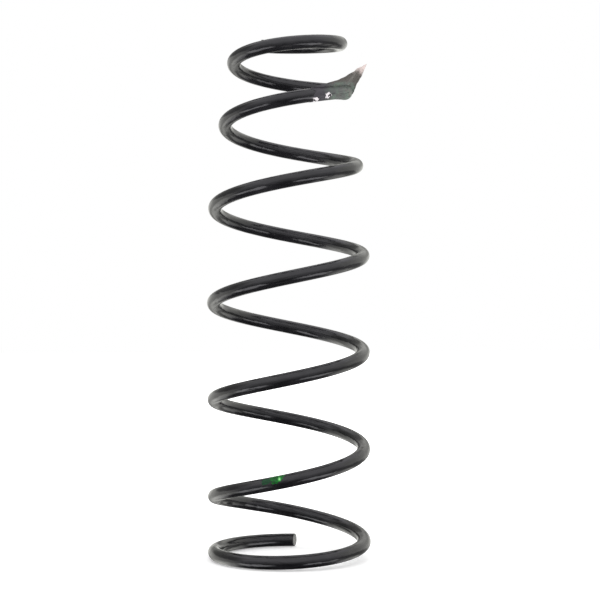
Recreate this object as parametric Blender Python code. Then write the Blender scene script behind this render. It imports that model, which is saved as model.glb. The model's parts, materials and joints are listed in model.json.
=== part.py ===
"""Coil spring of a car's suspension strut: one round steel bar, wound right-handed, with a pigtail on top.

Frame: +Z runs up the coil axis. The origin is on that axis, in the plane that the lower end coil rests on.
Angles are in degrees, anticlockwise seen from above, from +X, and keep growing from turn to turn.

The bar is cut by upright radial planes into short rigid stretches. Between the two end coils each stretch
slides straight down when the spring is compressed, a little further than the stretch below it, so the
coils close up. The cuts are upright, so a stretch never touches the next one as it slides.
"""

import math

import bmesh
import bpy
from mathutils import Vector

# Driving dimensions, in metres.
BAR_DIAMETER = 0.010
COIL_RADIUS = 0.056  # of the bar's centreline
PIGTAIL_RADIUS = 0.040

# The winding, in degrees along the bar.
LOWER_TIP = 85.5
LOWER_END_COIL_TOP = 395.0
UPPER_END_COIL_FOOT = 2555.0
UPPER_TIP = 2640.0
NARROWING_START = 1470.0
NARROWING_END = 2410.0

# The rise for each full turn at these angles; between two of them it changes evenly.
PITCH_AT = (
    (LOWER_TIP, 0.0),
    (230.0, 0.0),
    (440.0, 0.0723),
    (1435.0, 0.0723),
    (1980.0, 0.0577),
    (2160.0, 0.0456),
    (2340.0, 0.0371),
    (2440.0, 0.0262),
    (2560.0, 0.0262),
    (2615.0, 0.0),
    (UPPER_TIP, 0.0),
)

# How the bar is cut and faceted.
CUT_GAP = 0.0004  # along the centreline, between two stretches
STRETCH_SPAN = 45.0
RING_SPACING = 9.0
BAR_SIDES = 16  # a multiple of four, so one facet faces straight down and one straight up
SHARP_ANGLE = 40.0  # edges sharper than this stay crisp when the faces are shaded smooth
SECTORS = ("rear_right", "rear", "rear_left", "left", "front_left", "front", "front_right", "right")

# The part label, a film band stuck round the bar with its two ends pressed together into one torn flag,
# which stands up and outwards from the bar and is longest at its far end.
LABEL_START = 2106.5
LABEL_END = 2148.5
LABEL_CLEARANCE = 0.0003
LABEL_THICKNESS = 0.0004
FLAG_LENGTH_START = 0.0012
FLAG_LENGTH_END = 0.0200
FLAG_TEAR = 1.5  # the power that the flag's length grows with along the band
FLAG_SLOPE = 52.0  # degrees from level, measured outwards
FLAG_THICKNESS = 0.0007

BLACK_COATING = {"color": (0.022, 0.022, 0.025, 1.0), "roughness": 0.28, "metallic": 0.0}
LABEL_FILM = {"color": (0.13, 0.14, 0.13, 1.0), "roughness": 0.45, "metallic": 0.0}

BAR_RADIUS = BAR_DIAMETER / 2.0


def clear_scene():
    for old in list(bpy.data.objects):
        bpy.data.objects.remove(old, do_unlink=True)


def smooth_step(start, end, value):
    share = min(max((value - start) / (end - start), 0.0), 1.0)
    return share * share * (3.0 - 2.0 * share)


def coil_radius(angle):
    narrowing = smooth_step(NARROWING_START, NARROWING_END, angle)
    return COIL_RADIUS + (PIGTAIL_RADIUS - COIL_RADIUS) * narrowing


def pitch_between(low, high, angle):
    (low_angle, low_pitch), (high_angle, high_pitch) = low, high
    return low_pitch + (high_pitch - low_pitch) * (angle - low_angle) / (high_angle - low_angle)


def pitch(angle):
    for low, high in zip(PITCH_AT, PITCH_AT[1:]):
        if angle <= high[0]:
            return pitch_between(low, high, angle)
    return PITCH_AT[-1][1]


def centre_height(angle):
    """Height of the centreline above the seat plane: the pitch summed along the bar."""
    height = BAR_RADIUS
    for low, high in zip(PITCH_AT, PITCH_AT[1:]):
        upper = min(angle, high[0])
        if upper <= low[0]:
            break
        mean_pitch = (low[1] + pitch_between(low, high, upper)) / 2.0
        height += mean_pitch * (upper - low[0]) / 360.0
    return height


def outward(angle):
    turned = math.radians(angle)
    return Vector((math.cos(turned), math.sin(turned), 0.0))


def steepening(angle):
    """How much taller a section in an upright plane is than the bar's own square section."""
    rise_per_radian = pitch(angle) / (2.0 * math.pi)
    return math.hypot(coil_radius(angle), rise_per_radian) / coil_radius(angle)


def bar_ring(angle, flat_radius):
    """Corners of the bar's section in the upright radial plane at an angle; flats sit at flat_radius."""
    across = outward(angle)
    up = Vector((0.0, 0.0, steepening(angle)))
    centre = across * coil_radius(angle) + Vector((0.0, 0.0, centre_height(angle)))
    corner_radius = flat_radius / math.cos(math.pi / BAR_SIDES)
    corners = []
    for side in range(BAR_SIDES):
        around = (side + 0.5) * 2.0 * math.pi / BAR_SIDES
        corners.append(centre + corner_radius * (math.cos(around) * across + math.sin(around) * up))
    return corners


def ring_angles(start, end):
    steps = max(1, round((end - start) / RING_SPACING))
    return [start + (end - start) * step / steps for step in range(steps + 1)]


def skin(mesh, rings):
    """Side faces round a row of rings, which are lists of bmesh vertices of one length."""
    for ring, following in zip(rings, rings[1:]):
        for side in range(BAR_SIDES):
            beside = (side + 1) % BAR_SIDES
            mesh.faces.new((ring[side], following[side], following[beside], ring[beside]))


def bar_mesh(name, start, end, base):
    """A solid stretch of bar from one angle to another, drawn relative to a base point on the axis."""
    mesh = bmesh.new()
    rings = []
    for angle in ring_angles(start, end):
        rings.append([mesh.verts.new(corner - base) for corner in bar_ring(angle, BAR_RADIUS)])
    skin(mesh, rings)
    mesh.faces.new(rings[0])
    mesh.faces.new(reversed(rings[-1]))
    return finished(mesh, name)


def finished(mesh, name):
    bmesh.ops.recalc_face_normals(mesh, faces=mesh.faces[:])
    data = bpy.data.meshes.new(name)
    mesh.to_mesh(data)
    mesh.free()
    data.shade_smooth()
    data.set_sharp_from_angle(angle=math.radians(SHARP_ANGLE))
    return data


def principled(name, look):
    material = bpy.data.materials.new(name)
    material.use_nodes = True
    shader = material.node_tree.nodes["Principled BSDF"]
    shader.inputs["Base Color"].default_value = look["color"]
    shader.inputs["Roughness"].default_value = look["roughness"]
    shader.inputs["Metallic"].default_value = look["metallic"]
    return material


def place(name, data, base, look):
    """An object whose origin is on the coil axis, which is also the axis its joint slides along."""
    data.materials.append(principled(name, look))
    piece = bpy.data.objects.new(name, data)
    piece.location = base
    bpy.context.scene.collection.objects.link(piece)
    return piece


def axis_point(angle):
    return Vector((0.0, 0.0, centre_height(angle)))


def half_gap(angle):
    return math.degrees(CUT_GAP / 2.0 / coil_radius(angle))


def add_stretch(name, start, end):
    base = axis_point(start)
    place(name, bar_mesh(name, start, end, base), base, BLACK_COATING)


def add_end_coils():
    add_stretch("lower_end_coil", LOWER_TIP, LOWER_END_COIL_TOP - half_gap(LOWER_END_COIL_TOP))
    add_stretch("upper_end_coil", UPPER_END_COIL_FOOT + half_gap(UPPER_END_COIL_FOOT), UPPER_TIP)


def add_working_coils():
    stretches = round((UPPER_END_COIL_FOOT - LOWER_END_COIL_TOP) / STRETCH_SPAN)
    for index in range(stretches):
        start = LOWER_END_COIL_TOP + index * STRETCH_SPAN
        end = start + STRETCH_SPAN
        turn = index // len(SECTORS) + 1
        name = f"coil_{turn}_{SECTORS[index % len(SECTORS)]}"
        add_stretch(name, start + half_gap(start), end - half_gap(end))


def flag_length(angle):
    share = (angle - LABEL_START) / (LABEL_END - LABEL_START)
    return FLAG_LENGTH_START + (FLAG_LENGTH_END - FLAG_LENGTH_START) * share**FLAG_TEAR


def label_mesh(name, base):
    mesh = bmesh.new()
    inside_radius = BAR_RADIUS + LABEL_CLEARANCE
    outside_radius = inside_radius + LABEL_THICKNESS
    angles = ring_angles(LABEL_START, LABEL_END)
    inner = []
    outer = []
    for angle in angles:
        inner.append([mesh.verts.new(corner - base) for corner in bar_ring(angle, inside_radius)])
        outer.append([mesh.verts.new(corner - base) for corner in bar_ring(angle, outside_radius)])
    skin(mesh, inner)
    skin(mesh, outer)
    for end in (0, -1):
        for side in range(BAR_SIDES):
            beside = (side + 1) % BAR_SIDES
            mesh.faces.new((inner[end][side], outer[end][side], outer[end][beside], inner[end][beside]))
    bmesh.ops.recalc_face_normals(mesh, faces=mesh.faces[:])
    draw_out_flag(mesh, angles, outer)
    return finished(mesh, name)


def draw_out_flag(mesh, angles, outer):
    """Extrudes the band's facet that faces half up and half outwards into the flag, thinning it there."""
    left = BAR_SIDES // 8 - 1
    right = left + 1
    sloping = {corner for ring in outer for corner in (ring[left], ring[right])}
    strip = [face for face in mesh.faces if sloping.issuperset(face.verts)]
    extruded = bmesh.ops.extrude_face_region(mesh, geom=strip)["geom"]
    bmesh.ops.delete(mesh, geom=strip, context="FACES_ONLY")
    edge = [item for item in extruded if isinstance(item, bmesh.types.BMVert)]
    slope = math.radians(FLAG_SLOPE)
    for angle, ring in zip(angles, outer):
        middle = (ring[left].co + ring[right].co) / 2.0
        towards = (ring[right].co - ring[left].co).normalized()
        drawn = outward(angle) * math.cos(slope) + Vector((0.0, 0.0, math.sin(slope)))
        for corner, side in ((ring[left], -1.0), (ring[right], 1.0)):
            torn = min(edge, key=lambda vertex: (vertex.co - corner.co).length)
            edge.remove(torn)
            torn.co = middle + towards * (side * FLAG_THICKNESS / 2.0) + drawn * flag_length(angle)


def add_part_label():
    base = axis_point(LABEL_START)
    place("part_label", label_mesh("part_label", base), base, LABEL_FILM)


clear_scene()
add_end_coils()
add_working_coils()
add_part_label()
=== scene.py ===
"""Looks of the coil spring: one unbroken coated bar, its green paint mark, and what is left of its label.

The bar's path, its thickness and how far each place along it sinks when the spring is compressed are all
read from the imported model. Angles are in degrees along the bar, anticlockwise seen from above, from +X.
"Around" is the direction across the bar: 0 points away from the coil axis and 90 points up.
"""

import json
import math

import bpy
import numpy as np
from mathutils import Matrix, Vector


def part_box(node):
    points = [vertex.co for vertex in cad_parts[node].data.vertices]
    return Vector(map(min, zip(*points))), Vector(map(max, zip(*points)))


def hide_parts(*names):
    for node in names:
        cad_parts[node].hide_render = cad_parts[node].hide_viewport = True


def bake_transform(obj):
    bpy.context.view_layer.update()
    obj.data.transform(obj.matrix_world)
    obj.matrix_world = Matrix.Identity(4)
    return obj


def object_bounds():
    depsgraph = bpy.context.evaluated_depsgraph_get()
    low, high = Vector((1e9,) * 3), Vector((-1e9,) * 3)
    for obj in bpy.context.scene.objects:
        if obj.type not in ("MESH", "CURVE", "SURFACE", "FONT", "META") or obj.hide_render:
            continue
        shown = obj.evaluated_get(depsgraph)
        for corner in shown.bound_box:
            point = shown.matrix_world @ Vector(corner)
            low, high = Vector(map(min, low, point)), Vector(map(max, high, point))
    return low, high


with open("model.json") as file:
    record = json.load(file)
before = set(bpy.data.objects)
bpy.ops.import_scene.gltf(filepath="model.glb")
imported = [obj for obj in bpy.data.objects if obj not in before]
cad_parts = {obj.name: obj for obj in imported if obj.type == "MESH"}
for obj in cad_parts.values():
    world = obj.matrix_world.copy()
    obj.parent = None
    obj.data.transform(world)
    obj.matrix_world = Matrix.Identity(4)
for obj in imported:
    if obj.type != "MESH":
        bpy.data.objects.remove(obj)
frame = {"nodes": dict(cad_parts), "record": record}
CAD_LOW, CAD_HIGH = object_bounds()

MM = 0.001

# How finely the bar is drawn: degrees between its rings, and corners in a ring.
BAR_STEP = 1.5
BAR_SIDES = 44
LENGTH_SAMPLES = 4000

# The rounded edge and the sheared face of the bar's two tips. The outermost rings are still coated.
TIP_EDGE = 0.55 * MM
TIP_EDGE_RINGS = 5
TIP_FACE_RINGS = 9
TIP_COATED_RINGS = 2
TIP_ROUGHNESS = 0.10 * MM
TIP_ROUGHNESS_SCALE = 6 * MM
TIP_SEED = 11

# How far out of square the two ends of the bar were sheared off, and over what length that shows.
LOWER_SHEAR = math.tan(math.radians(13.0))
UPPER_SHEAR = math.tan(math.radians(-6.0))
SHEARED_LENGTH = 5.0 * MM

# The dab of green paint near the start of the lowest front stretch, and the thin smear it was dragged out
# from. A place is degrees along from the start of that stretch and degrees round the bar; a size is half
# the length and half the width.
PAINT_NODE = "coil_1_front"
PAINT_PLACE = (1.9, 46.0)
PAINT_SIZE = (5.2 * MM, 3.7 * MM)
PAINT_THICKNESS = 0.16 * MM
PAINT_SEED = 4
SMEAR_PLACE = (-5.0, 34.0)
SMEAR_SIZE = (4.6 * MM, 2.3 * MM)
SMEAR_THICKNESS = 0.04 * MM
SMEAR_SEED = 9

# The painted highlight in the dab, a pale glint inside a lighter green patch: its place, and how fast it
# fades along the bar, out of the coil and upwards, for each metre.
HIGHLIGHT_PLACE = (3.8, 31.0)
HIGHLIGHT_FADE = (620.0, 0.0, 430.0)

# The patches of paint and paper: points in a ring, rings from the middle to the rim, how deep the underside
# and the rim are sunk into the bar, and how squarely the top falls off to the rim.
PATCH_SPOKES = 72
PATCH_RINGS = 14
PATCH_SUNK = 0.15 * MM
PATCH_RIM_SUNK = 0.03 * MM
PATCH_CROWN = 6
OUTLINE_WAVES = (2, 3, 5, 7, 11, 16)

# The label's film sleeve round the bar. It starts and ends this many degrees before and after the CAD label,
# its start is torn, and from some way along it hangs loose below the bar: degrees along, and how loose.
FILM_LEAD = 14.0
FILM_TRAIL = 19.0
FILM_THICKNESS = 0.16 * MM
FILM_SUNK = 0.12 * MM
FILM_LOOSE = (0.0, 30.0, 52.0, 68.0, 74.0), (0.0, 0.1 * MM, 1.3 * MM, 1.5 * MM, 0.0)
FILM_LOOSE_AROUND = -75.0
FILM_SIDES = 64
FILM_RINGS = 90
FILM_TEAR = ((1.6, 2, 40.0), (0.9, 5, 0.0))  # degrees along, waves round the bar, and where they start
FILM_TEAR_JAGS = 0.5
FILM_TEAR_SEED = 5
WRINKLE_DEPTH = 0.35  # of the film's thickness
WRINKLE_SIZE = 5 * MM
WRINKLE_GRAIN = (0.7 * MM, 0.087 * MM)  # about the length of a degree along and of a degree round
WRINKLE_SEED = 3

# The torn flag stands off the bar like a fin. Its outline is its length off the bar, and the direction round
# the bar that it points in, at places along the label.
FLAG_OUTLINE = (
    (0.0, 0.2 * MM, 66.0),
    (8.0, 1.7 * MM, 62.0),
    (13.0, 3.0 * MM, 58.0),
    (24.0, 4.7 * MM, 57.0),
    (35.0, 8.1 * MM, 55.0),
    (46.0, 12.7 * MM, 53.0),
    (54.0, 17.0 * MM, 52.0),
    (59.0, 21.2 * MM, 49.0),
    (62.0, 13.8 * MM, 43.0),
    (65.0, 7.8 * MM, 35.0),
    (67.0, 4.6 * MM, 24.0),
    (70.0, 2.8 * MM, 5.0),
    (74.0, 2.0 * MM, -25.0),
    (77.0, 0.3 * MM, -40.0),
)
FLAG_THICKNESS = 0.30 * MM
FLAG_THINNING = 0.6  # the share of its thickness that it loses by its torn edge
FLAG_SUNK = 0.1 * MM
FLAG_SHORTEST = 0.1 * MM
FLAG_STEPS = 120
FLAG_OUT_STEPS = 16
FLAG_NICKS = (0.03, 0.12 * MM)  # how deep, as a share of the length and on top of that
FLAG_NICK_SIZE = 4.5 * MM
FLAG_NICK_SEED = 8
FLAG_SWAY = 0.7 * MM
FLAG_SWAY_FROM = 6 * MM  # from this far off the bar it sways in full
FLAG_SWAY_SIZE = 14 * MM
FLAG_SWAY_GRAIN = 0.75 * MM  # about the length of a degree along
FLAG_SWAY_SEED = 21

# Scraps of paper left on the label: degrees along from the start of the CAD label and degrees round the bar,
# half length and half width, thickness and seed.
SCRAPS = (
    ((0.5, -24.0), (2.9 * MM, 2.7 * MM), 0.34 * MM, 12),
    ((-11.2, -64.0), (2.7 * MM, 3.4 * MM), 0.30 * MM, 15),
)
SCRAP_RAGGEDNESS = 0.2

# The floor is pale grey under the spring and glows to plain white further out, so it has no horizon.
FLOOR_HALF = 6.0
FLOOR_DROP = 0.2 * MM
FLOOR_PALES = (0.10, 0.50)
FLOOR_GLOW = 0.35

# The soft light overhead, in metres and watts.
LIGHT_PLACE = (0.1, -0.2, 1.8)
LIGHT_SIZE = (2.0, 2.0)
LIGHT_POWER = 8.0
LIGHT_TARGET = (0.0, 0.0, 0.1)

# The brightness and tint of the room that the coating mirrors.
ROOM_WALLS = 0.55
ROOM_CEILING = 0.75
ROOM_TABLE_FRONT = 2.6
ROOM_TABLE_BACK = 1.0
ROOM_BACK_DARK = 0.30
ROOM_BACK_PALE = 1.15
ROOM_BACK_SLOPE = 0.45
ROOM_SHELVES = 0.35
ROOM_TINT_FRONT = (0.965, 0.955, 1.0, 1.0)
ROOM_TINT_BACK = (1.0, 1.0, 0.95, 1.0)

# The view: a long lens, level, a little below half way up the spring.
CAMERA_DISTANCE = 1.1136
CAMERA_HEIGHT = 0.1824
CAMERA_LENS = 89.02
CAMERA_SHIFT = (0.0193, 0.0201)
CAMERA_TILT = 0.1
CAMERA_ROLL = 0.236


# ---------------------------------------------------------------- the bar's path, from the frame


def node_points(node):
    return np.array([vertex.co for vertex in frame["nodes"][node].data.vertices])


def angles_of(points):
    """The angle of each point round the coil axis, from 0 to 360."""
    return np.degrees(np.arctan2(points[:, 1], points[:, 0])) % 360.0


def ring_centres(node):
    """Angle, radius and height of the centre of every ring of corners in a CAD stretch of bar, in order."""
    points = node_points(node)
    angles = angles_of(points)
    order = np.argsort(angles)
    angles, points = angles[order], points[order]
    opening = np.argmax(np.diff(np.append(angles, angles[0] + 360.0))) + 1
    angles = np.roll(angles, -opening)
    points = np.roll(points, -opening, axis=0)
    angles[angles < angles[0] - 1.0] += 360.0
    edges = np.flatnonzero(np.diff(angles) > 1.0) + 1
    rings = []
    for ring_angles, corners in zip(np.split(angles, edges), np.split(points, edges)):
        radii = np.hypot(corners[:, 0], corners[:, 1])
        heights = corners[:, 2]
        radius = (radii.min() + radii.max()) / 2
        rings.append((ring_angles.mean(), radius, (heights.min() + heights.max()) / 2))
    return np.array(rings)


def sinking_shares():
    """How far each body moves, as a share of the compression, from the joints and their couplings."""
    behaviour = frame["record"]["behaviour"]
    ratio = {coupling["joint"]: coupling["ratio"] for coupling in behaviour["couplings"]}
    return {joint["child"]: ratio.get(joint["name"], 1.0) for joint in behaviour["joints"]}


def bar_node(body, names):
    """The stretch of bar among a body's nodes. Only the two end coils aren't named as their bodies are."""
    return body if body in names else names[0]


def read_path():
    """The bar's rings (angle, radius and height), how it sinks (angle and share), and its nodes, in order.

    A stretch's own share holds at its middle, and an end coil's holds all along it.
    """
    shares = sinking_shares()
    bodies = frame["record"]["behaviour"]["bodies"]
    nodes = {body: bar_node(body, names) for body, names in bodies.items()}
    order = sorted(nodes, key=lambda body: shares.get(body, 0.0))
    path, sunk = [], []
    for body in order:
        rings = ring_centres(nodes[body])
        while path and rings[0, 0] < path[-1][-1, 0] - 1.0:
            rings[:, 0] += 360.0
        share = shares.get(body, 0.0)
        is_end_coil = body in (order[0], order[-1])
        places = rings[:, 0] if is_end_coil else [rings[:, 0].mean()]
        sunk += [(place, share) for place in places]
        path.append(rings)
    return np.vstack(path), np.array(sunk), [nodes[body] for body in order]


def smooth_through(knots, values, at):
    """A smooth curve through the knots (cubic Hermite pieces), read at some places."""
    slopes = np.gradient(values, knots)
    index = np.clip(np.searchsorted(knots, at) - 1, 0, len(knots) - 2)
    span = knots[index + 1] - knots[index]
    part = (at - knots[index]) / span
    rise = values[index + 1] - values[index]
    return (
        values[index]
        + part * span * slopes[index]
        + part * part * (3 * rise - span * (2 * slopes[index] + slopes[index + 1]))
        + part * part * part * (span * (slopes[index] + slopes[index + 1]) - 2 * rise)
    )


PATH, SUNK, BAR_NODES = read_path()
PATH_ANGLE, PATH_RADIUS, PATH_HEIGHT = PATH.T
LOWER_TIP, UPPER_TIP = PATH_ANGLE[0], PATH_ANGLE[-1]
BAR_RADIUS = PATH_HEIGHT[0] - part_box(BAR_NODES[0])[0].z


def growth(values, angles):
    """How much one of the path's values grows for each radian along the bar."""
    small = 0.05
    after = smooth_through(PATH_ANGLE, values, angles + small)
    before = smooth_through(PATH_ANGLE, values, angles - small)
    return (after - before) / math.radians(2 * small)


def centre_and_axes(angles):
    """Centre of the bar at some angles, with unit vectors out of the coil, up, and along the bar."""
    radius = smooth_through(PATH_ANGLE, PATH_RADIUS, angles)
    turned = np.radians(angles)
    flat = np.zeros_like(turned)
    away = np.stack([np.cos(turned), np.sin(turned), flat], -1)
    forward = np.stack([-np.sin(turned), np.cos(turned), flat], -1)
    centre = away * radius[..., None]
    centre[..., 2] = smooth_through(PATH_ANGLE, PATH_HEIGHT, angles)
    along = away * growth(PATH_RADIUS, angles)[..., None] + forward * radius[..., None]
    along[..., 2] = growth(PATH_HEIGHT, angles)
    along /= np.linalg.norm(along, axis=-1, keepdims=True)
    out = away - along * np.sum(away * along, -1, keepdims=True)
    out /= np.linalg.norm(out, axis=-1, keepdims=True)
    return centre, out, np.cross(out, along), along


def on_bar(angles, around, radius):
    """World points at an angle along the bar, a direction round it and a distance from its centreline."""
    centre, out, up, _ = centre_and_axes(angles)
    turned = np.radians(around)[..., None]
    return centre + (out * np.cos(turned) + up * np.sin(turned)) * radius[..., None]


def length_along(angles):
    """Distance along the bar from its lower tip."""
    fine = np.linspace(LOWER_TIP, UPPER_TIP, LENGTH_SAMPLES)
    centre, _, _, _ = centre_and_axes(fine)
    lengths = np.concatenate([[0.0], np.cumsum(np.linalg.norm(np.diff(centre, axis=0), axis=1))])
    return np.interp(angles, fine, lengths)


def straightened(angles, around, radius):
    """The points that on_bar gives, if the bar were straight: along it in X, and across it in Y and Z."""
    turned = np.radians(around)
    return np.stack([length_along(angles), radius * np.cos(turned), radius * np.sin(turned)], -1)


def node_span(node):
    """The angles along the bar that a CAD piece starts and ends at."""
    low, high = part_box(node)
    angles = np.unique(np.round(angles_of(node_points(node)), 2))
    on_path = np.interp((low.z + high.z) / 2, PATH_HEIGHT, PATH_ANGLE)
    angles = angles + 360.0 * round((on_path - angles.mean()) / 360.0)
    return angles[0], angles[-1]


# ---------------------------------------------------------------- meshes


def make_object(name, points, faces, material, bar_points=None, smooth=True):
    """An object from points and faces. bar_points are those points on the straightened bar."""
    mesh = bpy.data.meshes.new(name)
    mesh.from_pydata(np.asarray(points).tolist(), [], faces)
    mesh.update()
    if smooth:
        mesh.shade_smooth()
    if bar_points is not None:
        attribute = mesh.attributes.new("bar_point", "FLOAT_VECTOR", "POINT")
        attribute.data.foreach_set("vector", np.asarray(bar_points, np.float32).ravel())
    mesh.materials.append(material)
    piece = bpy.data.objects.new(name, mesh)
    bpy.context.scene.collection.objects.link(piece)
    return piece


def sink_with_bar(piece):
    """Bakes the piece's placement into its points. It does not follow the bar as it closes up."""
    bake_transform(piece)


def tube_faces(rings, sides):
    faces = []
    for ring in range(rings - 1):
        start = ring * sides
        for side in range(sides):
            beside = (side + 1) % sides
            faces.append((start + side, start + sides + side, start + sides + beside, start + beside))
    return faces


def wobble(points, scale, seed):
    """Smooth, repeatable bumps between about -1 and 1: waves in random directions, each octave fainter."""
    octaves = 4
    directions = 3
    fading = 1.6
    evening = 5.0
    total = np.zeros(points.shape[:-1])
    rng = np.random.default_rng(seed)
    for octave in range(octaves):
        for _ in range(directions):
            direction = rng.normal(size=3)
            direction /= np.linalg.norm(direction)
            phase = rng.uniform(0, 2 * math.pi)
            waves = points @ direction * (2 * math.pi / scale) * 2**octave
            total += np.sin(waves + phase) / (fading**octave)
    return total / evening


# ---------------------------------------------------------------- the bar


def tip_profile():
    """How far in from the cut plane and from the centre each ring of a tip is, from the outside in."""
    inset, radius = [], []
    for step in range(1, TIP_EDGE_RINGS + 1):
        turn = math.pi / 2 * step / TIP_EDGE_RINGS
        inset.append(TIP_EDGE * (1 - math.sin(turn)))
        radius.append(BAR_RADIUS - TIP_EDGE * (1 - math.cos(turn)))
    face_radius = radius[-1]
    for step in range(1, TIP_FACE_RINGS):
        inset.append(0.0)
        radius.append(face_radius * (1 - step / TIP_FACE_RINGS))
    return np.array(inset), np.array(radius)


def out_of_square(distance):
    """Slant of the bar's rings near its two sheared ends."""
    lower = np.clip(1 - distance / SHEARED_LENGTH, 0.0, 1.0)
    upper = np.clip(1 - (length_along(UPPER_TIP) - distance) / SHEARED_LENGTH, 0.0, 1.0)
    return UPPER_SHEAR * upper - LOWER_SHEAR * lower


def shear_marks(points, ring_radius, tip_rings):
    """How far each point of the two cut faces stands in or out along the bar, from the shearing."""
    rough = wobble(points, TIP_ROUGHNESS_SCALE, TIP_SEED) * TIP_ROUGHNESS
    rough[tip_rings:-tip_rings] = 0.0
    inside = np.clip((BAR_RADIUS - ring_radius) / TIP_EDGE, 0.0, 1.0)
    return rough * inside[:, None]


def mark_cut_faces(piece, rings, tip_rings):
    """The material's cut_face value is 1 on the two sheared faces and 0 on the rest of the bar."""
    cut_face = np.zeros(rings)
    cut_face[: tip_rings - TIP_COATED_RINGS] = 1.0
    cut_face[TIP_COATED_RINGS - tip_rings :] = 1.0
    values = np.concatenate([np.repeat(cut_face, BAR_SIDES), [1.0, 1.0]])
    attribute = piece.data.attributes.new("cut_face", "FLOAT", "POINT")
    attribute.data.foreach_set("value", values.astype(np.float32))


def bar_faces(rings):
    """The tube's faces, with a fan from the middle point of each tip, which are the last two points."""
    faces = tube_faces(rings, BAR_SIDES)
    lower_middle = rings * BAR_SIDES
    last = (rings - 1) * BAR_SIDES
    for side in range(BAR_SIDES):
        beside = (side + 1) % BAR_SIDES
        faces.append((lower_middle, side, beside))
        faces.append((lower_middle + 1, last + beside, last + side))
    return faces


def build_bar(material):
    """The whole bar as one closed tube, with rounded, roughly sheared tips."""
    edge = math.degrees(TIP_EDGE / PATH_RADIUS[0])
    steps = round((UPPER_TIP - LOWER_TIP) / BAR_STEP)
    angles = np.linspace(LOWER_TIP + edge, UPPER_TIP - edge, steps + 1)
    tip_inset, tip_radius = tip_profile()
    tip_rings = len(tip_radius)
    rings = len(angles) + 2 * tip_rings
    ring_angle = np.concatenate([[LOWER_TIP] * tip_rings, angles, [UPPER_TIP] * tip_rings])
    ring_radius = np.concatenate([tip_radius[::-1], np.full(len(angles), BAR_RADIUS), tip_radius])
    ring_inset = np.concatenate([tip_inset[::-1], np.zeros(len(angles)), -tip_inset])

    turned = np.arange(BAR_SIDES) * 2 * math.pi / BAR_SIDES
    centre, out, up, along = centre_and_axes(ring_angle)
    outwards = ring_radius[:, None] * np.cos(turned)
    upwards = ring_radius[:, None] * np.sin(turned)
    points = centre[:, None] + out[:, None] * outwards[..., None] + up[:, None] * upwards[..., None]
    distance = length_along(ring_angle) + ring_inset
    moved = ring_inset[:, None] + out_of_square(distance)[:, None] * outwards
    moved += shear_marks(points, ring_radius, tip_rings)
    points += along[:, None] * moved[..., None]
    bar_points = np.stack([np.broadcast_to(distance[:, None], outwards.shape), outwards, upwards], -1)

    middles = [centre[0], centre[-1]]
    bar_middles = [[distance[0], 0.0, 0.0], [distance[-1], 0.0, 0.0]]
    points = np.vstack([points.reshape(-1, 3), middles])
    bar_points = np.vstack([bar_points.reshape(-1, 3), bar_middles])
    piece = make_object("spring_bar", points, bar_faces(rings), material, bar_points)
    mark_cut_faces(piece, rings, tip_rings)
    sink_with_bar(piece)
    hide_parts(*BAR_NODES)


# ---------------------------------------------------------------- shader nodes


def new_material(name):
    material = bpy.data.materials.new(name)
    material.use_nodes = True
    tree = material.node_tree
    return material, tree, tree.nodes["Principled BSDF"]


def join(tree, node, socket, value):
    """Sets a node's input to a value, or joins another node's output to it."""
    target = node.inputs[socket]
    if isinstance(value, bpy.types.NodeSocket):
        tree.links.new(value, target)
    else:
        target.default_value = value


def add(tree, kind, settings=None, **inputs):
    """A shader node with settings and inputs. An input is named with _ for a space, or numbered as i0."""
    node = tree.nodes.new(kind)
    for key, value in (settings or {}).items():
        setattr(node, key, value)
    for key, value in inputs.items():
        numbered = key[0] == "i" and key[1:].isdigit()
        join(tree, node, int(key[1:]) if numbered else key.replace("_", " "), value)
    return node


def math_node(tree, operation, first, second=0.0, clamp=False):
    settings = {"operation": operation, "use_clamp": clamp}
    return add(tree, "ShaderNodeMath", settings, i0=first, i1=second).outputs[0]


def plus(tree, first, second):
    return math_node(tree, "ADD", first, second)


def times(tree, first, second):
    return math_node(tree, "MULTIPLY", first, second)


def length_of(tree, vector):
    return add(tree, "ShaderNodeVectorMath", {"operation": "LENGTH"}, i0=vector).outputs["Value"]


def parts_of(tree, vector):
    outputs = add(tree, "ShaderNodeSeparateXYZ", Vector=vector).outputs
    return outputs["X"], outputs["Y"], outputs["Z"]


def ramp(tree, value, low, high, out_low=0.0, out_high=1.0):
    """Maps low..high to out_low..out_high smoothly."""
    settings = {"interpolation_type": "SMOOTHSTEP"}
    node = add(tree, "ShaderNodeMapRange", settings, Value=value, From_Min=low, From_Max=high)
    join(tree, node, "To Min", out_low)
    join(tree, node, "To Max", out_high)
    return node.outputs["Result"]


def band(tree, value, low, high, soft):
    """1 between low and high, falling smoothly to 0 over a soft margin outside them."""
    rise = ramp(tree, value, low - soft, low)
    fall = ramp(tree, value, high, high + soft, 1.0, 0.0)
    return times(tree, rise, fall)


def mix_color(tree, share, first, second):
    mix = add(tree, "ShaderNodeMix", {"data_type": "RGBA"}, i0=share, i6=first, i7=second)
    return mix.outputs[2]


def mix_value(tree, share, first, second):
    mix = add(tree, "ShaderNodeMix", {"data_type": "FLOAT"}, i0=share, i2=first, i3=second)
    return mix.outputs[0]


def bar_place(tree):
    """The place on the bar as if it were straight: along it in X, across it in Y and Z, in metres."""
    return add(tree, "ShaderNodeAttribute", {"attribute_name": "bar_point"}).outputs["Vector"]


def stretched(tree, vector, along, across):
    """Places scaled along and across the bar, for a noise of scale 1 that is longer than it is wide."""
    return add(tree, "ShaderNodeMapping", Vector=vector, Scale=(along, across, across)).outputs["Vector"]


def noise(tree, vector, scale, detail=3.0, roughness=0.5, distortion=0.0):
    """Smooth noise between 0 and 1; its scale is in features for each metre."""
    inputs = {"Scale": scale, "Detail": detail, "Roughness": roughness, "Distortion": distortion}
    return add(tree, "ShaderNodeTexNoise", Vector=vector, **inputs).outputs["Fac"]


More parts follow.
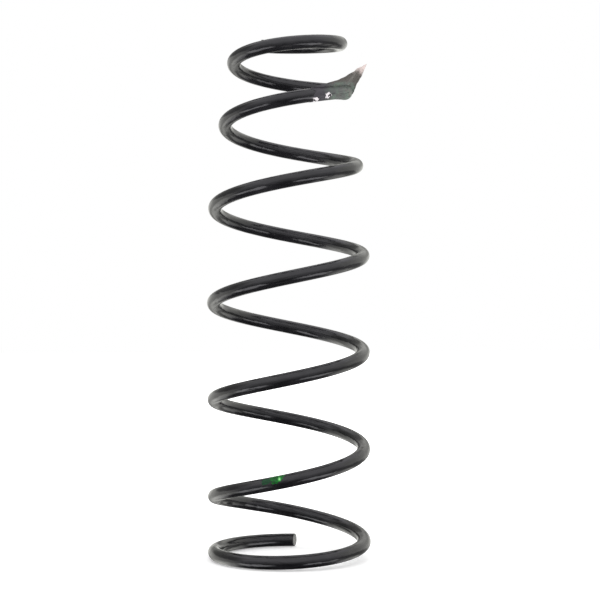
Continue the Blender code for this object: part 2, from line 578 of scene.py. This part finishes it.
def voronoi(tree, vector, feature, scale):
    return add(tree, "ShaderNodeTexVoronoi", {"feature": feature}, Vector=vector, Scale=scale).outputs


def emboss(tree, shader, height, strength, distance=MM):
    """Gives a shader relief from a height between 0 and 1, which stands for a distance."""
    bump = add(tree, "ShaderNodeBump", Height=height, Strength=strength, Distance=distance)
    join(tree, shader, "Normal", bump.outputs["Normal"])


# ---------------------------------------------------------------- the coating

# All colours are linear.
COATING = (0.0060, 0.0060, 0.0070, 1.0)
COATING_CLOUD = (0.0120, 0.0117, 0.0135, 1.0)
DUST = (0.16, 0.155, 0.145, 1.0)
RUBBED = (0.060, 0.058, 0.058, 1.0)
SHEARED_STEEL = (0.085, 0.083, 0.082, 1.0)
BARE_STEEL = (0.22, 0.205, 0.19, 1.0)


def settled_dust(tree, place):
    """Fine grey dust, in patches, most of it on the upper side."""
    _, _, facing_up = parts_of(tree, add(tree, "ShaderNodeNewGeometry").outputs["Normal"])
    speck = noise(tree, place, 2400.0, detail=2.0, roughness=0.7)
    patch = noise(tree, place, 140.0)
    dust = times(tree, ramp(tree, speck, 0.56, 0.72), ramp(tree, patch, 0.45, 0.72))
    return times(tree, dust, ramp(tree, facing_up, -0.1, 0.9, 0.10, 0.55))


def rub_marks(tree, place):
    """Marks along the bar, where it slid through the coiling rolls and against other springs."""
    streak = noise(tree, stretched(tree, place, 18.0, 900.0), 1.0, detail=2.0, roughness=0.6)
    return times(tree, ramp(tree, streak, 0.60, 0.72), ramp(tree, noise(tree, place, 38.0), 0.52, 0.70))


def chips(tree, place):
    """A few ragged chips down to bare steel."""
    cells = voronoi(tree, place, "F1", 130.0)
    cell_number, _, _ = parts_of(tree, cells["Color"])
    chosen = math_node(tree, "GREATER_THAN", cell_number, 0.955)
    ragged_distance = plus(tree, cells["Distance"], times(tree, noise(tree, place, 1900.0), 0.12))
    return times(tree, chosen, ramp(tree, ragged_distance, 0.165, 0.135))


def sheared_faces(tree, place):
    """The two cut faces, where the coating is thin and uneven."""
    cut = add(tree, "ShaderNodeAttribute", {"attribute_name": "cut_face"}).outputs["Fac"]
    return times(tree, cut, ramp(tree, noise(tree, place, 420.0), 0.25, 0.75, 0.35, 1.0))


def coating_relief(tree, place, chip):
    """Orange peel, the shot-peened steel under the coating, waves, faint drawing lines, and the chips."""
    peel = noise(tree, place, 520.0, detail=2.0)
    peened = voronoi(tree, place, "SMOOTH_F1", 1150.0)["Distance"]
    lines = noise(tree, stretched(tree, place, 30.0, 1500.0), 1.0, detail=2.0)
    waves = noise(tree, stretched(tree, place, 70.0, 230.0), 1.0, detail=2.0, distortion=0.6)
    relief = plus(tree, times(tree, peel, 0.050), times(tree, peened, 0.022))
    relief = plus(tree, relief, times(tree, waves, 0.60))
    relief = plus(tree, relief, times(tree, lines, 0.018))
    return math_node(tree, "SUBTRACT", relief, times(tree, chip, 0.08))


def black_coating():
    """Glossy black, cloudy over centimetres, and duller where it is dusty, rubbed or chipped."""
    material, tree, shader = new_material("black_coating")
    place = bar_place(tree)
    dust = settled_dust(tree, place)
    rubbed = rub_marks(tree, place)
    chip = chips(tree, place)

    cloud = noise(tree, place, 55.0, detail=4.0)
    color = mix_color(tree, ramp(tree, cloud, 0.35, 0.7), COATING, COATING_CLOUD)
    color = mix_color(tree, dust, color, DUST)
    color = mix_color(tree, times(tree, rubbed, 0.55), color, RUBBED)
    color = mix_color(tree, sheared_faces(tree, place), color, SHEARED_STEEL)
    join(tree, shader, "Base Color", mix_color(tree, chip, color, BARE_STEEL))
    join(tree, shader, "Metallic", times(tree, chip, 0.8))

    dull = ramp(tree, noise(tree, place, 90.0, detail=4.0), 0.3, 0.7, 0.12, 0.19)
    dull = plus(tree, dull, times(tree, dust, 0.35))
    dull = plus(tree, dull, times(tree, rubbed, 0.14))
    join(tree, shader, "Roughness", math_node(tree, "ADD", dull, times(tree, chip, 0.2), clamp=True))
    emboss(tree, shader, coating_relief(tree, place, chip), 0.6)
    return material


# ---------------------------------------------------------------- the paint

PAINT_DARK = (0.001, 0.055, 0.006, 1.0)
PAINT_GREEN = (0.004, 0.160, 0.018, 1.0)
PAINT_THIN = (0.003, 0.032, 0.010, 1.0)
# Colours of the painted highlight on the dab: the lighter green patch and the pale glint at its middle.
HIGHLIGHT_GREEN = (0.085, 0.400, 0.085, 1.0)
HIGHLIGHT_GLINT = (0.45, 0.78, 0.40, 1.0)
SMEAR_DARK = (0.005, 0.022, 0.012, 1.0)
SMEAR_GREEN = (0.006, 0.052, 0.017, 1.0)


def green_paint(highlight_place):
    """Green paint, darker where it is thin, with a painted highlight low down: a lighter green patch round a
    pale glint.
    """
    material, tree, shader = new_material("green_paint")
    place = bar_place(tree)
    brush = noise(tree, stretched(tree, place, 260.0, 1300.0), 1.0, distortion=0.6)
    thin = noise(tree, place, 800.0)
    color = mix_color(tree, ramp(tree, brush, 0.35, 0.7), PAINT_DARK, PAINT_GREEN)
    color = mix_color(tree, ramp(tree, thin, 0.56, 0.68), color, PAINT_THIN)
    # Painted highlight: lighter green round the highlight's place, and a pale glint at its middle.
    off_highlight = add(tree, "ShaderNodeVectorMath", {"operation": "SUBTRACT"}, i0=place, i1=highlight_place)
    faded = add(tree, "ShaderNodeMapping", Vector=off_highlight.outputs["Vector"], Scale=HIGHLIGHT_FADE)
    highlight = plus(tree, length_of(tree, faded.outputs["Vector"]), times(tree, brush, 0.9))
    color = mix_color(tree, ramp(tree, highlight, 0.80, 1.30, 1.0, 0.0), color, HIGHLIGHT_GREEN)
    color = mix_color(tree, ramp(tree, highlight, 0.50, 0.80, 1.0, 0.0), color, HIGHLIGHT_GLINT)
    join(tree, shader, "Base Color", color)
    join(tree, shader, "Roughness", ramp(tree, thin, 0.3, 0.8, 0.12, 0.34))
    join(tree, shader, "Specular IOR Level", 0.25)
    emboss(tree, shader, plus(tree, times(tree, brush, 0.22), times(tree, thin, 0.06)), 0.8)
    return material


def worn_paint():
    """The thin, dark tail of the paint, with the black coating showing through."""
    material, tree, shader = new_material("worn_paint")
    place = bar_place(tree)
    drag = noise(tree, stretched(tree, place, 120.0, 1300.0), 1.0)
    join(tree, shader, "Base Color", mix_color(tree, ramp(tree, drag, 0.34, 0.58), SMEAR_DARK, SMEAR_GREEN))
    join(tree, shader, "Roughness", ramp(tree, drag, 0.3, 0.7, 0.18, 0.30))
    join(tree, shader, "Specular IOR Level", 0.2)
    emboss(tree, shader, drag, 0.4, 0.1 * MM)
    return material


# ---------------------------------------------------------------- the label's film and paper

FILM_GREY = (0.062, 0.068, 0.066, 1.0)
FILM_GREEN = (0.092, 0.124, 0.100, 1.0)
FILM_BROWN = (0.088, 0.074, 0.064, 1.0)
# Painted shade along the film's creases.
FILM_CREASE_SHADE = (0.022, 0.026, 0.025, 1.0)
FILM_DARK_START = (0.032, 0.029, 0.036, 1.0)
FLAG_SOILED = (0.058, 0.052, 0.046, 1.0)
FLAG_TORN = (0.56, 0.46, 0.44, 1.0)
PAPER_GREY = (0.52, 0.48, 0.50, 1.0)
PAPER_WHITE = (0.74, 0.71, 0.72, 1.0)
PRINT_BLACK = (0.012, 0.012, 0.016, 1.0)


def label_film(start):
    """Dull grey-green film, dirty, with painted shade darkening its creases. It is nearly black where it
    starts, which is given in metres along the bar, browner out on the flag, and bare torn paper at the
    flag's tip."""
    material, tree, shader = new_material("label_film")
    place = bar_place(tree)
    along, y, z = parts_of(tree, place)
    off_bar = length_of(tree, add(tree, "ShaderNodeCombineXYZ", Y=y, Z=z).outputs["Vector"])

    cloud = noise(tree, place, 170.0, detail=4.0)
    brown = noise(tree, place, 240.0, distortion=0.5)
    creases = noise(tree, stretched(tree, place, 60.0, 420.0), 1.0, distortion=0.8)
    color = mix_color(tree, ramp(tree, cloud, 0.35, 0.65), FILM_GREY, FILM_GREEN)
    color = mix_color(tree, ramp(tree, brown, 0.54, 0.70), color, FILM_BROWN)
    # Painted shade: the film's colour is darkened along its creases.
    color = mix_color(tree, ramp(tree, creases, 0.56, 0.68, 0.0, 0.85), color, FILM_CREASE_SHADE)

    far = plus(tree, along, times(tree, noise(tree, place, 300.0), 8 * MM))
    near_start = ramp(tree, far, start + 10 * MM, start + 24 * MM, 1.0, 0.0)
    color = mix_color(tree, near_start, color, FILM_DARK_START)
    color = mix_color(tree, band(tree, off_bar, 10 * MM, 18 * MM, 3 * MM), color, FLAG_SOILED)
    torn = plus(tree, off_bar, times(tree, noise(tree, place, 420.0), 6 * MM))
    color = mix_color(tree, ramp(tree, torn, 18.5 * MM, 25.5 * MM), color, FLAG_TORN)
    join(tree, shader, "Base Color", color)
    join(tree, shader, "Roughness", ramp(tree, cloud, 0.3, 0.7, 0.38, 0.60))
    emboss(tree, shader, plus(tree, times(tree, creases, 0.30), times(tree, brown, 0.10)), 0.8)
    return material


def torn_paper():
    """White label paper with black print worn into blotches; it carries no lettering."""
    material, tree, shader = new_material("torn_paper")
    place = bar_place(tree)
    blotch = noise(tree, place, 520.0, detail=1.0, distortion=0.4)
    fibres = noise(tree, stretched(tree, place, 900.0, 2600.0), 1.0)
    white = mix_color(tree, fibres, PAPER_GREY, PAPER_WHITE)
    join(tree, shader, "Base Color", mix_color(tree, ramp(tree, blotch, 0.52, 0.56), white, PRINT_BLACK))
    join(tree, shader, "Roughness", 0.75)
    emboss(tree, shader, fibres, 0.5, 0.1 * MM)
    return material


# ---------------------------------------------------------------- pieces on the bar


def ragged(turn, seed, roughness):
    """A closed outline's distance from its middle, by direction: about 1, with repeatable bites."""
    rng = np.random.default_rng(seed)
    outline = np.ones_like(turn)
    for waves in OUTLINE_WAVES:
        depth = roughness / waves**0.5 * rng.normal()
        outline += depth * np.sin(waves * turn + rng.uniform(0, 2 * math.pi))
    return outline


def lens_faces(layers, spokes):
    """Faces of a closed shape made of a first point, layers of spokes, and a last point."""
    faces = []
    last_layer = 1 + (layers - 1) * spokes
    last_point = 1 + layers * spokes
    for side in range(spokes):
        beside = (side + 1) % spokes
        faces.append((0, 1 + beside, 1 + side))
        faces.append((last_point, last_layer + side, last_layer + beside))
        for layer in range(layers - 1):
            start = 1 + layer * spokes
            faces.append((start + side, start + beside, start + spokes + beside, start + spokes + side))
    return faces


def build_patch(name, material, place, half_size, thickness, seed, roughness=0.14):
    """A thin lens that hugs the bar, with a ragged outline."""
    middle_angle, middle_around = place
    half_length, half_width = half_size
    top, rim, under = BAR_RADIUS + thickness, BAR_RADIUS - PATCH_RIM_SUNK, BAR_RADIUS - PATCH_SUNK
    shares = np.linspace(0, 1, PATCH_RINGS + 1)[1:]
    upper_layers = [(share, top + (rim - top) * share**PATCH_CROWN) for share in shares]
    under_layers = [(share, under) for share in shares[-2::-1]]

    turn = np.arange(PATCH_SPOKES) * 2 * math.pi / PATCH_SPOKES
    outline = ragged(turn, seed, roughness)
    lengthways = half_length * outline * np.cos(turn) / np.interp(middle_angle, PATH_ANGLE, PATH_RADIUS)
    sideways = half_width * outline * np.sin(turn) / BAR_RADIUS
    angles, around, radius = [[middle_angle]], [[middle_around]], [[top]]
    for share, height in upper_layers + under_layers:
        angles.append(middle_angle + np.degrees(share * lengthways))
        around.append(middle_around + np.degrees(share * sideways))
        radius.append(np.full(PATCH_SPOKES, height))
    angles = np.concatenate(angles + [[middle_angle]])
    around = np.concatenate(around + [[middle_around]])
    radius = np.concatenate(radius + [[under]])

    faces = lens_faces(len(upper_layers + under_layers), PATCH_SPOKES)
    bar_points = straightened(angles, around, radius)
    piece = make_object(name, on_bar(angles, around, radius), faces, material, bar_points)
    sink_with_bar(piece)


def label_sleeve(first, last):
    """The film round the bar: angles, directions and radii of its points, and its faces."""
    around = np.arange(FILM_SIDES) * 360.0 / FILM_SIDES
    tear = FILM_TEAR_JAGS * np.random.default_rng(FILM_TEAR_SEED).normal(size=FILM_SIDES)
    for depth, waves, phase in FILM_TEAR:
        tear += depth * np.sin(np.radians(waves * around + phase))
    share = np.linspace(0, 1, FILM_RINGS)[:, None]
    angles = first + tear + (last - first - tear) * share
    around = np.broadcast_to(around, angles.shape)

    grain_along, grain_round = WRINKLE_GRAIN
    pattern = np.stack([angles * grain_along, around * grain_round, np.zeros_like(angles)], -1)
    wrinkle = WRINKLE_DEPTH * wobble(pattern, WRINKLE_SIZE, WRINKLE_SEED)
    below = np.clip(np.cos(np.radians(around - FILM_LOOSE_AROUND)), 0.0, 1.0)
    loose = np.interp(angles - first, *FILM_LOOSE) * below
    radius = BAR_RADIUS + FILM_THICKNESS * (1 + wrinkle) + loose

    sunk = np.full((1, FILM_SIDES), BAR_RADIUS - FILM_SUNK)
    angles = np.vstack([angles[:1], angles, angles[-1:]])
    around = np.vstack([around[:1], around, around[-1:]])
    radius = np.vstack([sunk, radius, sunk])
    rings = FILM_RINGS + 2
    faces = tube_faces(rings, FILM_SIDES)
    faces.append(tuple(range(FILM_SIDES)))
    faces.append(tuple(rings * FILM_SIDES - 1 - side for side in range(FILM_SIDES)))
    return angles, around, radius, faces


def flag_faces():
    """The flag's two sides, each a grid of points, and the strip between their borders."""
    grid = np.arange(FLAG_STEPS * FLAG_OUT_STEPS).reshape(FLAG_STEPS, FLAG_OUT_STEPS)
    count = grid.size
    faces = []
    for near, far in zip(grid[:-1], grid[1:]):
        for face in np.stack([near[:-1], near[1:], far[1:], far[:-1]], -1).tolist():
            faces.append(face)
            faces.append([count + corner for corner in face[:1] + face[:0:-1]])
    border = np.concatenate([grid[:, 0], grid[-1, 1:], grid[-2::-1, -1], grid[0, -2:0:-1]]).tolist()
    for near, far in zip(border, border[1:] + border[:1]):
        faces.append((near, far, count + far, count + near))
    return faces


def label_flag(first):
    """The torn flag: angles, directions and radii of its points, and its faces."""
    outline_place, outline_length, outline_direction = np.array(FLAG_OUTLINE).T
    place = np.linspace(outline_place[0], outline_place[-1], FLAG_STEPS)
    nicks = wobble(np.stack([place * MM, place * 0, place * 0], -1), FLAG_NICK_SIZE, FLAG_NICK_SEED)
    length = np.interp(place, outline_place, outline_length)
    length = np.maximum(length * (1 + FLAG_NICKS[0] * nicks) + FLAG_NICKS[1] * nicks, FLAG_SHORTEST)
    out_share = np.linspace(0, 1, FLAG_OUT_STEPS)
    off_bar = length[:, None] * out_share
    radius = BAR_RADIUS - FLAG_SUNK + off_bar
    angles = np.broadcast_to((first + place)[:, None], radius.shape)

    pattern = np.stack([angles * FLAG_SWAY_GRAIN, radius, np.zeros_like(radius)], -1)
    sway = FLAG_SWAY * wobble(pattern, FLAG_SWAY_SIZE, FLAG_SWAY_SEED)
    sway = sway * np.minimum(off_bar / FLAG_SWAY_FROM, 1.0)
    half = FLAG_THICKNESS / 2 * (1 - FLAG_THINNING * out_share**2)
    direction = np.interp(place, outline_place, outline_direction)[:, None]
    around = [direction + np.degrees((sway + side * half) / radius) for side in (1.0, -1.0)]
    return np.vstack([angles, angles]), np.vstack(around), np.vstack([radius, radius]), flag_faces()


def build_label():
    """The film sleeve and its flag, a closed shape each, in one object."""
    first, last = node_span("part_label")
    first, last = first - FILM_LEAD, last + FILM_TRAIL
    *sleeve, sleeve_faces = label_sleeve(first, last)
    *flag, fin_faces = label_flag(first)
    start = sleeve[0].size
    faces = sleeve_faces + [tuple(index + start for index in face) for face in fin_faces]
    angles, around, radius = (np.concatenate([on.ravel(), off.ravel()]) for on, off in zip(sleeve, flag))
    bar_points = straightened(angles, around, radius)
    material = label_film(length_along(first))
    piece = make_object("label", on_bar(angles, around, radius), faces, material, bar_points)
    sink_with_bar(piece)
    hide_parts("part_label")


def add_paint():
    start = node_span(PAINT_NODE)[0]
    smear_place = (start + SMEAR_PLACE[0], SMEAR_PLACE[1])
    paint_place = (start + PAINT_PLACE[0], PAINT_PLACE[1])
    # Where the painted highlight sits on the straightened bar.
    highlight_place = straightened(start + HIGHLIGHT_PLACE[0], HIGHLIGHT_PLACE[1], BAR_RADIUS)
    smear, paint = worn_paint(), green_paint(tuple(highlight_place))
    build_patch("paint_smear", smear, smear_place, SMEAR_SIZE, SMEAR_THICKNESS, SMEAR_SEED)
    build_patch("paint_mark", paint, paint_place, PAINT_SIZE, PAINT_THICKNESS, PAINT_SEED)


def add_scraps():
    start = node_span("part_label")[0]
    paper = torn_paper()
    for number, (place, half_size, thickness, seed) in enumerate(SCRAPS, 1):
        scrap_place = (start + place[0], place[1])
        name = f"label_scrap_{number}"
        build_patch(name, paper, scrap_place, half_size, thickness, seed, SCRAP_RAGGEDNESS)


# ---------------------------------------------------------------- the stage

WHITE = (1.0, 1.0, 1.0, 1.0)
FLOOR_GREYS = (0.90, 0.90, 0.90, 1.0), (0.93, 0.93, 0.93, 1.0)


def build_floor():
    material, tree, shader = new_material("studio_floor")
    place = add(tree, "ShaderNodeTexCoord").outputs["Object"]
    glow = ramp(tree, length_of(tree, place), *FLOOR_PALES, FLOOR_GLOW, 1.0)
    join(tree, shader, "Base Color", mix_color(tree, noise(tree, place, 30.0), *FLOOR_GREYS))
    join(tree, shader, "Roughness", 0.7)
    join(tree, shader, "Emission Color", WHITE)
    join(tree, shader, "Emission Strength", glow)
    z = CAD_LOW.z - FLOOR_DROP
    corners = [(x * FLOOR_HALF, y * FLOOR_HALF, z) for x, y in ((-1, -1), (1, -1), (1, 1), (-1, 1))]
    floor = make_object("studio_floor", corners, [(0, 1, 2, 3)], material, smooth=False)
    floor.visible_glossy = False


def add_light():
    light = bpy.data.lights.new("top_light", "AREA")
    light.shape = "RECTANGLE"
    light.size, light.size_y = LIGHT_SIZE
    light.energy = LIGHT_POWER
    piece = bpy.data.objects.new("top_light", light)
    piece.location = LIGHT_PLACE
    aim = Vector(LIGHT_TARGET) - Vector(LIGHT_PLACE)
    piece.rotation_euler = aim.to_track_quat("-Z", "Y").to_euler()
    bpy.context.scene.collection.objects.link(piece)
    piece.visible_glossy = False


def room_behind(tree, x, z, steepness, aside):
    """Behind, the room is dim, but for a broad pale band that climbs from low on the left to high on the
    right. Two dark shelves cross the band straight behind, one above level and one below."""
    off_band = math_node(tree, "SUBTRACT", z, times(tree, x, ROOM_BACK_SLOPE))
    back = mix_value(tree, band(tree, off_band, -0.40, 0.40, 0.15), ROOM_BACK_DARK, ROOM_BACK_PALE)
    shelves = times(tree, band(tree, steepness, 0.22, 0.30, 0.14), ramp(tree, aside, 130.0, 175.0))
    return mix_value(tree, shelves, back, ROOM_SHELVES)


def room_table(tree, z, aside):
    """The edges of a pale table, low down at the four corners and brighter in front."""
    corner = math_node(tree, "ABSOLUTE", math_node(tree, "SUBTRACT", aside, 90.0))
    table = times(tree, band(tree, corner, 14.0, 56.0, 14.0), band(tree, z, -0.72, -0.50, 0.08))
    return times(tree, table, ramp(tree, aside, 80.0, 100.0, ROOM_TABLE_FRONT, ROOM_TABLE_BACK))


def build_surroundings():
    """White all round for the camera and for diffuse light, and a softly lit room for mirrors.

    x, y and z are the parts of a direction in the room. Aside is how far its heading is, in degrees, from
    straight ahead of the spring, towards the camera.
    """
    world = bpy.data.worlds.new("studio")
    bpy.context.scene.world = world
    world.use_nodes = True
    tree = world.node_tree
    x, y, z = parts_of(tree, add(tree, "ShaderNodeTexCoord").outputs["Generated"])
    steepness = math_node(tree, "ABSOLUTE", z)
    heading = math_node(tree, "ARCTAN2", x, times(tree, y, -1.0))
    aside = math_node(tree, "ABSOLUTE", times(tree, heading, 180.0 / math.pi))

    walls = ramp(tree, z, -0.45, 0.05, 0.0, ROOM_WALLS)
    ceiling = ramp(tree, z, 0.0, 0.6, 0.0, ROOM_CEILING)
    is_behind = times(tree, ramp(tree, aside, 60.0, 95.0), ramp(tree, steepness, 0.55, 0.85, 1.0, 0.0))
    back = room_behind(tree, x, z, steepness, aside)
    room = mix_value(tree, is_behind, plus(tree, walls, ceiling), back)
    room = plus(tree, room, room_table(tree, z, aside))
    tint = mix_color(tree, is_behind, ROOM_TINT_FRONT, ROOM_TINT_BACK)

    is_mirrored = add(tree, "ShaderNodeLightPath").outputs["Is Glossy Ray"]
    background = tree.nodes["Background"]
    join(tree, background, "Color", mix_color(tree, is_mirrored, WHITE, tint))
    join(tree, background, "Strength", mix_value(tree, is_mirrored, 1.0, room))


def build_camera():
    data = bpy.data.cameras.new("camera")
    data.lens = CAMERA_LENS
    data.shift_x, data.shift_y = CAMERA_SHIFT
    camera = bpy.data.objects.new("camera", data)
    place = Matrix.Translation((0.0, -CAMERA_DISTANCE, CAD_LOW.z + CAMERA_HEIGHT))
    upright = Matrix.Rotation(math.radians(90.0 + CAMERA_TILT), 4, "X")
    camera.matrix_world = place @ upright @ Matrix.Rotation(math.radians(-CAMERA_ROLL), 4, "Z")
    bpy.context.scene.collection.objects.link(camera)
    bpy.context.scene.camera = camera
    bpy.context.scene.view_settings.view_transform = "Standard"


build_bar(black_coating())
add_paint()
build_label()
add_scraps()
build_floor()
build_surroundings()
add_light()
build_camera()
